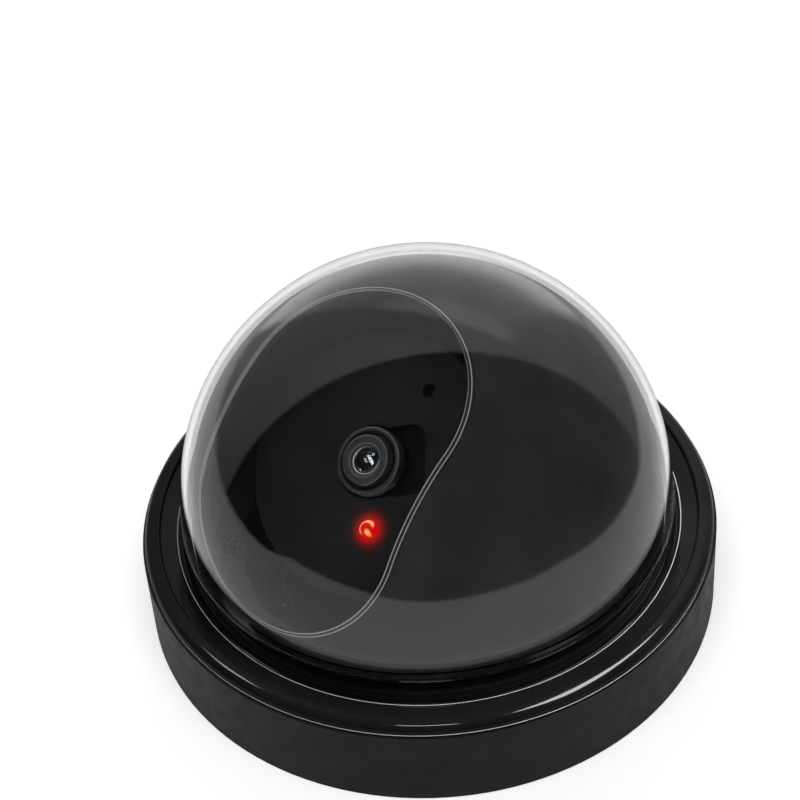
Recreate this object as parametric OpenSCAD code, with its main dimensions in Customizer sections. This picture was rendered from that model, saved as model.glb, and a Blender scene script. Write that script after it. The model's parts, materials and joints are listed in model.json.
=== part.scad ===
// Dome security camera: round surface-mount base, clip-on cover with a clear dome, and a
// camera unit on three axes (pan, tilt and rotation) behind a slotted liner.
// Millimetres. Z is up, away from the mounting surface; the slot and the lens face -Y.

/* [Housing] */
// Diameter of the cover's trim ring
ring_d = 114; // [114:0.5:118]
// Diameter of the mounting base
base_d = 115; // [114.5:0.5:115]
// Height of the mounting base's wall
base_h = 17.2; // [17.2:0.1:18]
// Thickness of the base's wall
base_wall = 2.5; // [2:0.1:2.5]
// Thickness of the base's floor
floor_t = 2.2; // [2:0.1:2.4]
// Bolt circle of the wall screws
wall_pcd = 100; // [99:0.5:101]
// Diameter of each wall screw hole
wall_hole_d = 4.4; // [3.6:0.1:4.6]
// Diameter of the cable inlet through the grommet
cable_d = 6.4; // [6:0.1:7]

/* [Dome] */
// Outer radius of the clear dome
dome_r = 48.8; // [48.7:0.1:49]
// Thickness of the clear dome
dome_wall = 1.2; // [1:0.1:1.3]
// Height of the dome's centre, where the pan and tilt axes cross
dome_z = 24.9; // [24.9:0.1:26]

/* [Liner] */
// Outer radius of the slotted liner
liner_r = 46.5; // [46:0.1:46.6]
// Thickness of the liner
liner_wall = 1.4; // [1.2:0.1:1.6]
// Half the width of the liner's slot
slot_half = 22.7; // [20:0.1:23]
// Elevation of the centre of the slot's lower round end
slot_low = 32; // [31.5:0.5:35]
// Elevation of the centre of the slot's upper round end
slot_high = 63.5; // [60:0.5:65]
// Width of the raised lip around the slot
lip_w = 1; // [0.8:0.1:1.4]
// How far the lip stands proud of the liner
lip_h = 0.25; // [0.2:0.05:0.3]

/* [Camera unit] */
// Elevation of the lens at rest
lens_elevation = 51.6; // [40:0.1:60]
// Rotation of the camera unit about the lens axis at rest
unit_turn = 32; // [0:1:40]
// Radius of the face plate
face_r = 26; // [24:0.5:26]
// Distance from the tilt axis to the front of the face plate
face_z = 23.5; // [23.5:0.1:24]
// Radius of the camera unit's housing
unit_r = 15.2; // [15:0.1:15.3]
// Radius of the lens thread
thread_r = 5.95; // [5.9:0.01:5.97]
// Radius of the lens head
head_r = 6.7; // [6.2:0.1:6.8]
// Diameter of the indicator's light pipe
pipe_d = 3.6; // [3:0.1:4]
// Diameter of the microphone hole
mic_d = 2.7; // [2:0.1:3]

/* [Hidden] */
$fn = 96;

over = 1;
ring_r = ring_d / 2;
base_r = base_d / 2;
base_in = base_r - base_wall;
wall_angles = [30, 150, 270];
cable_at = [0, 48, 0];
grommet_r = 5.5;
grommet_flange = 6.8;
standoff_angles = [90, 210, 330];
standoff_at = 34;
gasket_t = 0.4;
ring_z = base_h + gasket_t;

board_z = 3.6;
board_t = 1.6;
board_top = board_z + board_t;
board_r = 52;
board_hole = 12;
parts_at = 49;
screw_r = 1.25;
fine_screw_r = 0.8;
can_r = 2.3;
can_h = 6.4;
terminal_at = 68;
terminal_h = 7;
wire_y = 2.6;

hub_r = 11;
hub_top = 10.8;
shaft_r = 8;
groove_r = 7.2;
groove_z = 9.75;
hub_screw_at = 6;
hub_screw_angles = [60, 180, 300];
hub_screw_r = 1;
hub_head_r = 2;
hub_head_h = 1.3;
clip_t = 0.6;
fit = 0.05;
seam = 0.02;
table_z = 7.3;
table_t = 2;
table_top = table_z + table_t;
table_r = 31;
boss_at = 40.5;
boss_angles = [45, 135, 225, 315];
stop_w = 3;

neck_z = 23.1;
flange_out = 0.3;
flange_h = 0.9;
edge_r = 0.25;
spigot_out = 47.75;
spigot_in = 47;
spigot_z = 16;
snap_r = 48.6;
ring_under = 17;
collar_z = 22.9;
collar_bore = 47.85;
skirt_out = 54.6;
ring_land = 0.2;
rim_round = 2;
bead_r = 0.5;
band_out = 53.7;
band_in = 50;
band_z = 18.9;
groove_floor = 17.9;
collar_r = 49.5;
dome_foot = 48.3;
skirt_in = 53.2;
skirt_z = 13;

liner_in = liner_r - liner_wall;
liner_skirt = 45.4;
liner_flange = 38;
flange_z = 10.9;
flange_t = 1.4;

yoke_x = 21.5;
yoke_t = 2.5;
yoke_w = 12;
foot_out = 29.5;
foot_screw_x = 26.7;
foot_screw_y = 2.4;
foot_t = 2;
web_t = 1.4;
web_out = 4.6;
web_up = 9;
pin_r = 1.95;
pin_head_r = 4.2;
pin_head_h = 2.4;
cradle_x = 21;
cradle_r = 18.7;
cradle_low = 11;
cradle_high = 18;
cradle_arm = 16.6;

face_t = 2;
face_back = face_z - face_t;
pocket_floor = 21.3;
pocket_right = 11.6;
pocket_low = -7.3;
pocket_high = 6.4;
pocket_corner = 2.8;
pocket_round = 7.2;
led_at = [0, -13.2, 0];
mic_at = [12.2, 12.6, 0];
face_screw_at = 20;
face_screw_angles = [60, 160, 280];
face_screw_r = 0.9;
front_z = 18.9;
front_t = 1;
front_top = front_z + front_t;
housing_low = 3;
housing_wall = 1.2;
sensor_z = 9;
sensor_t = 1.2;
sensor_top = sensor_z + sensor_t;
holder_top = 20;
holder_screw_x = 7.25;

barrel_low = 12.4;
head_low = 22.6;
head_top = 24.6;
moat_floor = 23.8;
nose_r = 4.9;
nose_top = 25.8;
trim_r = 4.4;
front_glass_r = 2.9;
front_seat = 23.2;
front_rim = 24.9;
rear_glass_r = 4.2;
rear_seat = 16;
bore_r = 2.3;

// Tube between two heights.
module tube(outer, inner, low, high) {
    difference() {
        translate([0, 0, low]) cylinder(r = outer, h = high - low);
        translate([0, 0, low - over]) cylinder(r = inner, h = high - low + 2 * over);
    }
}

// Solid disc between two heights.
module disc(radius, low, high) {
    translate([0, 0, low]) cylinder(r = radius, h = high - low);
}

// Box centred in x and y between two heights.
module block(size_x, size_y, low, high) {
    translate([-size_x / 2, -size_y / 2, low]) cube([size_x, size_y, high - low]);
}

// Places a copy at each angle, out from the Z axis.
module around(angles, distance) {
    for (a = angles) rotate([0, 0, a]) translate([distance, 0, 0]) children();
}

// Pan-head screw pointing down, with its head's underside at z = 0.
module screw(shank_r, length, screw_head_r, head_h) {
    disc(shank_r, -length, 0);
    difference() {
        disc(screw_head_r, 0, head_h);
        translate([0, 0, head_h * 0.45]) block(screw_head_r * 1.1, screw_head_r * 0.28, 0, head_h);
        translate([0, 0, head_h * 0.45]) block(screw_head_r * 0.28, screw_head_r * 1.1, 0, head_h);
    }
}

// Frame of the tilting parts: origin on the tilt axis, +Z along the lens, +X along the axis.
module in_cradle() {
    translate([0, 0, dome_z]) rotate([90 - lens_elevation, 0, 0]) children();
}

// Frame of the camera unit, turned about the lens axis.
module in_unit() {
    in_cradle() rotate([0, 0, unit_turn]) children();
}

// ---- mounting base and what is fixed to it ----

module mounting_base() {
    color("#191a1c") difference() {
        union() {
            disc(base_r, 0, floor_t);
            tube(base_r, base_in, 0, base_h);
            around(wall_angles, wall_pcd / 2) disc(4.5, floor_t, floor_t + 0.8);
            around(standoff_angles, standoff_at) disc(3, floor_t, board_z);
        }
        around(wall_angles, wall_pcd / 2) disc(wall_hole_d / 2, -over, floor_t + 2);
        around(standoff_angles, standoff_at) disc(screw_r, 1, board_z + over);
        translate(cable_at) disc(grommet_r, -over, floor_t + over);
        translate(cable_at) disc(grommet_flange, -over, 0.8);
        around(hub_screw_angles, hub_screw_at) disc(hub_screw_r, -over, floor_t + over);
        around(hub_screw_angles, hub_screw_at) disc(hub_head_r, -over, hub_head_h);
    }
}

module cable_grommet() {
    color("#101010") translate(cable_at) {
        tube(grommet_r, cable_d / 2, 0, floor_t + 1);
        tube(grommet_flange, grommet_r - 0.5, 0, 0.8);
        tube(grommet_flange, grommet_r - 0.5, floor_t, floor_t + 1);
    }
}

module cover_gasket() {
    color("#0c0c0c") tube(base_r - 0.5, base_in + 0.1, base_h, ring_z);
}

// Hollow post that the turntable turns on, with a window for the harness and a stop key.
module pan_hub() {
    color("#c9b27a") difference() {
        union() {
            disc(hub_r, floor_t, table_z - 0.1);
            disc(shaft_r, table_z - 0.1, hub_top);
            translate([0, -12.6, 0]) block(stop_w, 4, 5.9, table_z - 0.1);
        }
        disc(4, floor_t + 0.7, hub_top + over);
        translate([6, 0, 0]) block(14, 4, floor_t + 0.7, board_top + 0.5);
        tube(shaft_r + over, groove_r, groove_z, groove_z + clip_t);
        around(hub_screw_angles, hub_screw_at) disc(hub_screw_r, floor_t - over, 6.2);
    }
}

module hub_screws() {
    color("#b9bcc0") around(hub_screw_angles, hub_screw_at)
        translate([0, 0, hub_head_h]) mirror([0, 0, 1]) screw(hub_screw_r, 4.7, hub_head_r, 1);
}

module pan_washer() {
    color("#d7d2c4") tube(hub_r, shaft_r, table_top + fit, groove_z);
}

// Open retaining ring in the hub's groove.
module pan_clip() {
    color("#8d9095") difference() {
        tube(10, groove_r, groove_z, groove_z + clip_t);
        translate([0, 9, 0]) block(9, 10, groove_z - over, groove_z + 2);
    }
}

module main_board() {
    color("#1c5a34") difference() {
        tube(board_r, board_hole, board_z, board_top);
        around(wall_angles, wall_pcd / 2) disc(5, board_z - over, board_top + over);
        around(standoff_angles, standoff_at) disc(screw_r, board_z - over, board_top + over);
        translate(cable_at) disc(7.2, board_z - over, board_top + over);
    }
}

module board_screws() {
    color("#b9bcc0") around(standoff_angles, standoff_at)
        translate([0, 0, board_top]) screw(screw_r, 3.6, 2.3, 1.4);
}

module video_chip() {
    color("#15161a") rotate([0, 0, 20]) translate([27, 0, 0]) block(12, 12, board_top, board_top + 1.2);
}

module power_chip() {
    color("#15161a") rotate([0, 0, 170]) translate([26, 0, 0]) block(6, 5, board_top, board_top + 1.3);
}

module capacitors() {
    color("#20242c") around([186, 194, 202], parts_at) {
        disc(can_r + 0.2, board_top, board_top + 0.6);
        disc(can_r, board_top + 0.6, board_top + can_h);
    }
}

module inductor() {
    color("#2a2b2e") rotate([0, 0, 150]) translate([25, 0, 0]) block(6, 6, board_top, board_top + 1.6);
}

module crystal() {
    color("#c5c8cc") rotate([0, 0, 45]) translate([30, 0, 0]) block(3.2, 5, board_top, board_top + 0.9);
}

// Two-way screw terminal for the supply, beside the cable inlet.
module terminal_block() {
    color("#2c7a4b") rotate([0, 0, terminal_at]) translate([parts_at, 0, 0]) difference() {
        block(5.2, 11, board_top, board_top + terminal_h);
        for (y = [-wire_y, wire_y]) translate([0, y, 0]) disc(1.3, board_top + 4.6, board_top + terminal_h + over);
        for (y = [-wire_y, wire_y]) translate([0, y, board_top + 2.4]) rotate([0, 90, 0])
            translate([0, 0, -1]) cylinder(r = 1.2, h = 5);
    }
}

module terminal_screws() {
    color("#c3c6ca") rotate([0, 0, terminal_at]) translate([parts_at, 0, 0])
        for (y = [-wire_y, wire_y]) translate([0, y, 0]) difference() {
            disc(1.3, board_top + 4.6, board_top + 6.2);
            block(3, 0.4, board_top + 5.7, board_top + terminal_h);
        }
}

module harness_socket() {
    color("#e7e2d2") translate([17, 0, 0]) difference() {
        block(4, 9, board_top, board_top + 1.5);
        translate([-1.5, 0, 0]) block(3, 7.4, board_top + 0.4, board_top + 1.1);
    }
}

// ---- cover ----

// Half section of the trim ring: rounded rim, shallow dished band and a collar for the dome.
module ring_section() {
    polygon([[skirt_in, skirt_z], [skirt_out, skirt_z], [skirt_out, ring_z], [ring_r, ring_z],
        [ring_r, ring_z + ring_land], [band_out, ring_z + ring_land], [band_out, band_z],
        [band_in, band_z - 0.5], [band_in - 0.1, groove_floor], [collar_r, groove_floor],
        [collar_r - 0.2, groove_floor + 1], [collar_r - 0.45, groove_floor + 2],
        [collar_r - 0.65, groove_floor + 2.3], [collar_r - 0.9, groove_floor + 2.5],
        [collar_r - 1, groove_floor + 3.5], [dome_foot, collar_z], [collar_bore, collar_z],
        [collar_bore, ring_under], [skirt_in, ring_under]]);
    translate([band_out, ring_z]) square([ring_r - rim_round - band_out, rim_round - bead_r + ring_land]);
    translate([band_out + bead_r, ring_z]) square([ring_r - rim_round - band_out - bead_r, rim_round + ring_land]);
    translate([band_out + bead_r, ring_z + rim_round + ring_land - bead_r]) circle(r = bead_r);
    intersection() {
        translate([ring_r - rim_round, ring_z + ring_land]) circle(r = rim_round);
        translate([ring_r - rim_round - 0.1, ring_z + 0.1]) square([2 * rim_round, 2 * rim_round]);
    }
}

module trim_ring() {
    color("#08080a") rotate_extrude() ring_section();
}

// Half section of the dome: a spherical shell, a foot flange, a spigot and a snap lip.
module dome_section() {
    inner_r = dome_r - dome_wall;
    difference() {
        union() {
            intersection() {
                translate([0, dome_z]) circle(r = dome_r);
                translate([0, dome_z]) square([dome_r + over, dome_r + over]);
            }
            translate([0, neck_z]) square([dome_r, dome_z - neck_z]);
            translate([0, neck_z]) square([dome_r + flange_out - edge_r, flange_h]);
            translate([0, neck_z + edge_r]) square([dome_r + flange_out, flange_h - 2 * edge_r]);
            for (z = [edge_r, flange_h - edge_r])
                translate([dome_r + flange_out - edge_r, neck_z + z]) circle(r = edge_r);
            translate([0, spigot_z]) square([spigot_out, neck_z - spigot_z + 0.1]);
            translate([0, spigot_z]) square([snap_r, ring_under - spigot_z]);
        }
        intersection() {
            translate([0, dome_z]) circle(r = inner_r);
            translate([-over, dome_z]) square([dome_r + over, dome_r + over]);
        }
        polygon([[-over, spigot_z - over], [spigot_in, spigot_z - over], [spigot_in, dome_z - 0.9],
            [inner_r, dome_z], [inner_r, dome_z + 0.001], [-over, dome_z + 0.001]]);
    }
}

module dome_bubble() {
    color([0.9, 0.95, 1, 0.25]) rotate_extrude() dome_section();
}

module dome_seal() {
    color("#0c0c0c") tube(dome_foot, collar_bore, collar_z, neck_z);
}

// ---- parts that pan ----

module turntable() {
    color("#141416") difference() {
        union() {
            disc(table_r, table_z, table_top);
            for (a = boss_angles) rotate([0, 0, a]) translate([20, -4, table_z])
                cube([boss_at - 20, 8, table_t]);
            around(boss_angles, boss_at) disc(4, table_z, table_top);
            around(boss_angles, boss_at) disc(2.8, table_top, flange_z);
            translate([0, 13.1, 0]) block(stop_w, 3.4, 6, table_z);
        }
        disc(shaft_r + fit, table_z - over, table_top + over);
        around(boss_angles, boss_at) disc(screw_r, table_z - over, flange_z + over);
        for (x = [-1, 1], y = [-1, 1]) translate([x * foot_screw_x, y * foot_screw_y, 0])
            disc(screw_r, table_z - over, table_top + over);
        for (a = [0, 90, 180, 270]) rotate([0, 0, a]) translate([17.5, 0, 0])
            disc(3.2, table_z - over, table_top + over);
    }
}

// Bracket on the +X side, holding one tilt pin.
module yoke_arm() {
    difference() {
        union() {
            translate([yoke_x, -yoke_w / 2, table_top])
                cube([yoke_t, yoke_w, dome_z - table_top]);
            translate([yoke_x, 0, dome_z]) rotate([0, 90, 0]) cylinder(r = yoke_w / 2, h = yoke_t);
            translate([yoke_x, -yoke_w / 2, table_top]) cube([foot_out - yoke_x, yoke_w, foot_t]);
            for (y = [-yoke_w / 2, yoke_w / 2 - web_t]) translate([yoke_x + yoke_t, y, table_top])
                rotate([-90, 0, 0]) linear_extrude(web_t) polygon([[0, 0], [web_out, 0], [0, -web_up]]);
        }
        translate([yoke_x - over, 0, dome_z]) rotate([0, 90, 0]) cylinder(r = pin_r, h = 6);
        for (y = [-foot_screw_y, foot_screw_y]) translate([foot_screw_x, y, 0])
            disc(screw_r, table_top - over, table_top + foot_t + over);
    }
}

module yoke_right() {
    color("#17181a") yoke_arm();
}

module yoke_left() {
    color("#17181a") mirror([1, 0, 0]) yoke_arm();
}

module yoke_screws() {
    color("#b9bcc0") for (x = [-1, 1], y = [-1, 1])
        translate([x * foot_screw_x, y * foot_screw_y, table_top + foot_t]) screw(screw_r, 3.8, 2, 1.2);
}

// Shoulder screws that the cradle tilts on, with knurled heads outside the yoke.
module tilt_pins() {
    color("#9a9da2") for (side = [0, 1]) mirror([side, 0, 0]) translate([0, 0, dome_z])
        rotate([0, 90, 0]) {
            disc(pin_r, cradle_x - 2.4, yoke_x + yoke_t);
            difference() {
                disc(pin_head_r, yoke_x + yoke_t, yoke_x + yoke_t + pin_head_h);
                around([0:30:330], pin_head_r + 0.4) disc(0.7, yoke_x, 30);
                block(5, 0.8, yoke_x + yoke_t + 1.5, 30);
            }
        }
}

module tilt_washers() {
    color("#d7d2c4") for (side = [0, 1]) mirror([side, 0, 0]) translate([0, 0, dome_z])
        rotate([0, 90, 0]) tube(4, pin_r, cradle_x + 0.1, yoke_x);
}

// Everything between the slot's two round ends, out from the dome's centre.
module slot_cut(half) {
    reach = 60;
    middle = (slot_low + slot_high) / 2;
    translate([0, 0, dome_z]) {
        for (e = [slot_low, slot_high]) rotate([90 - e, 0, 0]) disc(half, 20, reach);
        rotate([90, 0, 90]) translate([0, 0, seam - half]) linear_extrude(2 * (half - seam))
            polygon([for (e = [slot_low, middle, slot_high]) [-reach * cos(e), reach * sin(e)], [0, 0]]);
    }
}

module liner_section() {
    difference() {
        union() {
            intersection() {
                translate([0, dome_z]) circle(r = liner_r);
                translate([0, dome_z + 0.4]) square([60, 60]);
            }
            translate([0, dome_z - 0.3]) square([46.3, 1]);
            translate([0, flange_z]) square([liner_skirt, dome_z - flange_z]);
        }
        intersection() {
            translate([0, dome_z]) circle(r = liner_in);
            translate([-over, dome_z + 0.7]) square([60, 60]);
        }
        translate([-over, flange_z + flange_t]) square([liner_skirt - flange_t + over, dome_z + 0.8 - flange_z - flange_t]);
        translate([-over, flange_z - over]) square([liner_flange + over, 5]);
    }
}

// Half section of the shell that the slot's lip is cut from.
module lip_section() {
    intersection() {
        translate([0, dome_z]) difference() {
            circle(r = liner_r + lip_h);
            circle(r = liner_r - 0.5);
        }
        translate([0, dome_z + 0.5]) square([60, 60]);
    }
}

// Dome-shaped liner with the lens slot and a thin raised lip around it.
module slotted_liner() {
    color("#0b0b0d") difference() {
        union() {
            rotate_extrude() liner_section();
            intersection() {
                rotate_extrude() lip_section();
                slot_cut(slot_half + lip_w);
            }
        }
        slot_cut(slot_half);
        around(boss_angles, boss_at) disc(screw_r, flange_z - over, flange_z + 4);
    }
}

module liner_screws() {
    color("#b9bcc0") around(boss_angles, boss_at)
        translate([0, 0, flange_z + flange_t]) screw(screw_r, 4.4, 2.2, 1.3);
}

// ---- parts that tilt ----

// Ring around the camera unit with two arms back to the tilt axis.
module tilt_cradle() {
    color("#17181a") in_cradle() difference() {
        union() {
            disc(cradle_r, cradle_low, cradle_high);
            for (side = [0, 1]) mirror([side, 0, 0]) {
                translate([cradle_arm, -4.5, 0]) cube([cradle_r - cradle_arm, 9, cradle_high]);
                rotate([0, 90, 0]) disc(4.5, cradle_arm, cradle_x);
            }
        }
        disc(unit_r + fit, cradle_low - over, cradle_high + over);
        rotate([0, 90, 0]) disc(pin_r + fit, -cradle_x - over, cradle_x + over);
    }
}

// ---- parts that turn about the lens axis ----

// Outline of the pocket that the lens sits in, grown by a margin.
module pocket_shape(grow) {
    c = pocket_corner;
    circle(r = pocket_round + grow);
    translate([0, pocket_low - grow]) square([pocket_right - c, pocket_high - pocket_low + 2 * grow]);
    translate([0, pocket_low + c]) square([pocket_right + grow, pocket_high - pocket_low - 2 * c]);
    for (y = [pocket_low + c, pocket_high - c]) translate([pocket_right - c, y]) circle(r = c + grow);
}

module face_plate() {
    color("#121214") in_unit() difference() {
        union() {
            disc(face_r, face_back, face_z - 0.6);
            translate([0, 0, face_z - 0.6]) cylinder(r1 = face_r, r2 = face_r - 0.6, h = 0.6);
            tube(face_r, face_r - 1.6, face_back - 1.5, face_back + 0.1);
            translate([0, 0, pocket_floor - 1]) linear_extrude(1.3) pocket_shape(1);
            around(face_screw_angles, face_screw_at) disc(2.2, front_top, face_back + 0.1);
        }
        translate([0, 0, pocket_floor]) linear_extrude(4) pocket_shape(0);
        disc(pocket_round, 15, 30);
        translate(led_at) disc(pipe_d / 2, 15, 30);
        translate(mic_at) disc(mic_d / 2, 15, 30);
        around(face_screw_angles, face_screw_at) disc(face_screw_r, 15, face_z - 0.9);
    }
}

// Can around the sensor and the lens holder, with a shoulder that carries the front board.
module unit_housing() {
    color("#17181a") in_unit() {
        tube(unit_r, unit_r - housing_wall, housing_low, front_z);
        tube(17, unit_r - 0.5, cradle_high + 0.1, front_z);
        tube(unit_r - 0.5, 7.4, front_z - 1.5, front_z);
    }
}

module unit_rear_cap() {
    color("#1d1e21") in_unit() tube(unit_r - housing_wall, 2.5, housing_low, housing_low + 1.2);
}

module turn_retainer() {
    color("#8d9095") in_unit() tube(16.3, unit_r, cradle_low - 1.1, cradle_low - 0.1);
}

module front_board() {
    color("#101512") in_unit() difference() {
        tube(24, 7.6, front_z, front_top);
        around(face_screw_angles, face_screw_at) disc(face_screw_r, front_z - over, front_top + over);
    }
}

module indicator_led() {
    color("#f4efe2") in_unit() translate(led_at) block(3, 2.8, front_top, front_top + 1.2);
}

// Red light pipe with a domed end, standing out of the face plate.
module light_pipe() {
    color("#ff2010") in_unit() translate(led_at) {
        disc(pipe_d / 2, front_top + 1.2, face_z);
        intersection() {
            translate([0, 0, face_z]) sphere(r = pipe_d / 2);
            disc(pipe_d, face_z, face_z + pipe_d);
        }
    }
}

module microphone() {
    color("#c9b27a") in_unit() translate(mic_at) block(3.6, 2.8, front_top, front_top + 1.1);
}

module microphone_gasket() {
    color("#0c0c0c") in_unit() translate(mic_at) tube(1.9, 0.7, front_top + 1.1, face_back);
}

module lens_holder() {
    color("#1a1a1c") in_unit() difference() {
        union() {
            disc(7.4, sensor_top + 3, holder_top);
            block(17, 15, sensor_top, sensor_top + 3);
        }
        block(12, 10.5, sensor_top - over, sensor_top + 2.4);
        disc(thread_r + fit, sensor_top + 2, holder_top + over);
        for (x = [-holder_screw_x, holder_screw_x]) translate([x, 0, 0])
            disc(fine_screw_r, sensor_top - over, sensor_top + 2.3);
    }
}

module sensor_board() {
    color("#1c5a34") in_unit() difference() {
        disc(13.6, sensor_z, sensor_top);
        for (x = [-holder_screw_x, holder_screw_x]) translate([x, 0, 0])
            disc(fine_screw_r, sensor_z - over, sensor_top + over);
    }
}

module image_sensor() {
    color("#3a3f52") in_unit() block(7.5, 6.5, sensor_top, sensor_top + 1);
}

module sensor_glass() {
    color([0.8, 0.9, 1, 0.5]) in_unit() block(6.5, 5.5, sensor_top + 1, sensor_top + 1.4);
}

module signal_chip() {
    color("#15161a") in_unit() translate([0, 6, 0]) block(6, 6, sensor_z - 1, sensor_z);
}

module unit_socket() {
    color("#e7e2d2") in_unit() translate([0, -7, 0]) difference() {
        block(8, 3.6, sensor_z - 2.5, sensor_z);
        block(6.6, 2.2, sensor_z - 3, sensor_z - 0.7);
    }
}

module holder_screws() {
    color("#b9bcc0") in_unit() for (x = [-holder_screw_x, holder_screw_x])
        translate([x, 0, sensor_z]) mirror([0, 0, 1]) screw(fine_screw_r, 3.4, 1.4, 1);
}

module face_screws() {
    color("#b9bcc0") in_unit() around(face_screw_angles, face_screw_at)
        translate([0, 0, front_z]) mirror([0, 0, 1]) screw(face_screw_r, 3.4, 1.7, 0.6);
}

// ---- lens ----

// Threaded barrel with a flanged head and a raised nose around the front glass.
module lens_barrel() {
    color("#1e1f22") in_unit() rotate_extrude() polygon([
        [rear_glass_r, barrel_low], [thread_r, barrel_low], [thread_r, head_low], [head_r, head_low],
        [head_r, head_top - 0.2], [head_r - 0.2, head_top], [nose_r + 1, head_top],
        [nose_r + 0.8, moat_floor], [nose_r + 0.2, moat_floor], [nose_r, nose_top - 0.2],
        [nose_r - 0.2, nose_top], [trim_r, nose_top], [trim_r, front_rim], [front_glass_r, front_rim],
        [front_glass_r, front_seat], [bore_r, front_seat], [bore_r, rear_seat],
        [rear_glass_r, rear_seat]]);
}

module lens_retainer() {
    color("#2a2b2f") in_unit() rotate_extrude()
        polygon([[2.6, front_rim], [trim_r, front_rim], [trim_r, nose_top - 0.1],
            [3.3, nose_top - 0.1], [2.6, front_rim + 0.3]]);
}

// Front element: a flat-backed lens with a domed face.
module front_lens() {
    bulge = 1.1;
    curve = (front_glass_r * front_glass_r + bulge * bulge) / (2 * bulge);
    flat = front_seat + 0.9;
    color([0.6, 0.7, 0.9, 0.5]) in_unit() {
        disc(front_glass_r, front_seat, flat);
        intersection() {
            translate([0, 0, flat + bulge - curve]) sphere(r = curve);
            disc(4, flat, flat + 2);
        }
    }
}

module rear_lens() {
    bulge = 0.7;
    curve = (rear_glass_r * rear_glass_r + bulge * bulge) / (2 * bulge);
    flat = rear_seat - 1.8;
    color([0.6, 0.7, 0.9, 0.5]) in_unit() {
        disc(rear_glass_r, flat, rear_seat);
        intersection() {
            translate([0, 0, flat - bulge + curve]) sphere(r = curve);
            disc(5, flat - 1.2, flat);
        }
    }
}

module focus_lock_ring() {
    color("#9a9da2") in_unit() difference() {
        tube(6.85, thread_r, holder_top + 0.4, 22.2);
        around([0:30:330], 7.1) disc(0.55, holder_top, 23);
    }
}

mounting_base();
cable_grommet();
cover_gasket();
pan_hub();
hub_screws();
pan_washer();
pan_clip();
main_board();
board_screws();
video_chip();
power_chip();
capacitors();
inductor();
crystal();
terminal_block();
terminal_screws();
harness_socket();
trim_ring();
dome_bubble();
dome_seal();
turntable();
yoke_left();
yoke_right();
yoke_screws();
tilt_pins();
tilt_washers();
slotted_liner();
liner_screws();
tilt_cradle();
face_plate();
unit_housing();
unit_rear_cap();
turn_retainer();
front_board();
indicator_led();
light_pipe();
microphone();
microphone_gasket();
lens_holder();
sensor_board();
image_sensor();
sensor_glass();
signal_chip();
unit_socket();
holder_screws();
face_screws();
lens_barrel();
lens_retainer();
front_lens();
rear_lens();
focus_lock_ring();
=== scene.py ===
"""Dome security camera: finishes, small fittings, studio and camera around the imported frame.

Metres, +Z up away from the mounting surface, the lens faces -Y at rest.
"""
import json
import math
import random

import bmesh
import bpy
from mathutils import Matrix, Vector


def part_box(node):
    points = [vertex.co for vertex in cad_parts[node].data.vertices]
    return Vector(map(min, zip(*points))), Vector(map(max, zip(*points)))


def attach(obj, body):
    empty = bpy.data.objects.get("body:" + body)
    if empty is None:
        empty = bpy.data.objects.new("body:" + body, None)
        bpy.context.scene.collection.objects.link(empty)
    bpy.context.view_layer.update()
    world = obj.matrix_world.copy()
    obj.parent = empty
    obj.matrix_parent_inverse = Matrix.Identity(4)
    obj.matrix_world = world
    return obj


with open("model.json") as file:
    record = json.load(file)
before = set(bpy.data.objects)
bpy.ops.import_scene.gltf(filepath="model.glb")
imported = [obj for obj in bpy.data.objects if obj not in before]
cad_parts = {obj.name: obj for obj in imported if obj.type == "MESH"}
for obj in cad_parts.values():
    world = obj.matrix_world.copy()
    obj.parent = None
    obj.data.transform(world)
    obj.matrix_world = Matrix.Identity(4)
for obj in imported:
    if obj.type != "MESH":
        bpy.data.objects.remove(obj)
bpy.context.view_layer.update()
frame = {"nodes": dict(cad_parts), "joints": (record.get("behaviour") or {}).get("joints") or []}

random.seed(7)
MM = 0.001

# ---- places taken from the frame ----

JOINTS = {joint["name"]: joint for joint in frame["joints"]}
LENS_AXIS = Vector(JOINTS["unit_rotation"]["axis"]).normalized()
RING_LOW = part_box("cover_gasket")[1].z
DOME_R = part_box("dome_bubble")[1].x
DOME_CENTRE = Vector((0, 0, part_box("dome_bubble")[1].z - DOME_R))
BOARD_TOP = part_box("main_board")[1].z
FACE_UP = Vector((0, LENS_AXIS.z, -LENS_AXIS.y))

# Sizes of moulded features, in the CAD's numbers; depths run along the lens axis from DOME_CENTRE.
LINER_R = 46.5 * MM  # outer surface of the liner
FACE_DEPTH = 23.5 * MM  # front of the face plate
HEAD_DEPTH = 22.5 * MM  # foot of the lens head
NOSE_DEPTH = 24.3 * MM  # floor of the moat around the lens's nose
LENS_TIP_DEPTH = 25 * MM  # front of the lens
SLOT_HALF = 22.7 * MM  # half width of the liner's slot
SLOT_LIP = 0.68 * MM  # from the slot's edge to the outer painted highlight line on its lip
SLOT_LOW, SLOT_HIGH = math.radians(32), math.radians(63.5)  # elevations of the slot's two ends
GROOVE_R = DOME_R + 1.3 * MM  # edge of the trim ring's groove, where a painted highlight line lies
MIC_HOLE_R = 1.38 * MM
PIPE_R = 1.8 * MM  # lit end of the light pipe


def middle(node):
    """Centre of a CAD node's box."""
    low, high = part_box(node)
    return (low + high) / 2


def join(tree, operation, *values):
    """Math node in tree fed by numbers or sockets."""
    step = tree.nodes.new("ShaderNodeMath")
    step.operation = operation
    for value, socket in zip(values, step.inputs):
        if isinstance(value, bpy.types.NodeSocket):
            tree.links.new(value, socket)
        else:
            socket.default_value = value
    return step.outputs[0]


def straight_view(tree):
    """1 for what the camera sees directly or through clear parts, 0 in reflections."""
    path = tree.nodes.new("ShaderNodeLightPath").outputs
    once = join(tree, "LESS_THAN", path["Glossy Depth"], 0.5)
    through = join(tree, "MULTIPLY", path["Is Transmission Ray"], once)
    return join(tree, "MAXIMUM", path["Is Camera Ray"], through)


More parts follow.
